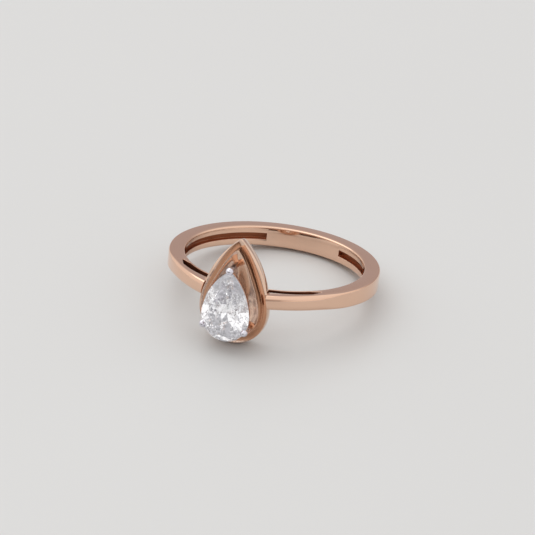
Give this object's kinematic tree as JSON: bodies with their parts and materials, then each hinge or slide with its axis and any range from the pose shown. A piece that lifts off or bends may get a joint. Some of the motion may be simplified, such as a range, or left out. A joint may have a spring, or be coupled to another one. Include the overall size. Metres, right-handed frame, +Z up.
{
  "type": "engagement ring",
  "caption": "Engagement ring with a pear-shaped stone held by claws above a stepped pear-shaped frame, on a plain slim band with pierced shoulders.",
  "frame": {"origin": "centre of the finger hole, on its axis and halfway across the band's width", "axes": "+Z up from the table on which the ring lies, +Y from the setting towards the back of the band, +X to the right when the stone is looked at from the front; the finger axis leans from +Z towards +Y by about 10.5 degrees, because the back edge of the band and the round end of the setting rest on the table"},
  "size_m": [0.0196, 0.0224, 0.0097],
  "materials": {
    "rose_gold": "polished rose gold",
    "white_gold": "polished white gold",
    "stone": "clear polished facets"
  },
  "bodies": {
    "root": {"shank": "rose_gold", "finger_bridge": "rose_gold", "outer_tier": "rose_gold", "upper_tier": "rose_gold", "base_rail": "rose_gold", "seat_rail": "rose_gold", "tip_claw": "white_gold", "left_claw": "white_gold", "right_claw": "white_gold", "diamond": "stone"}
  },
  "joints": []
}
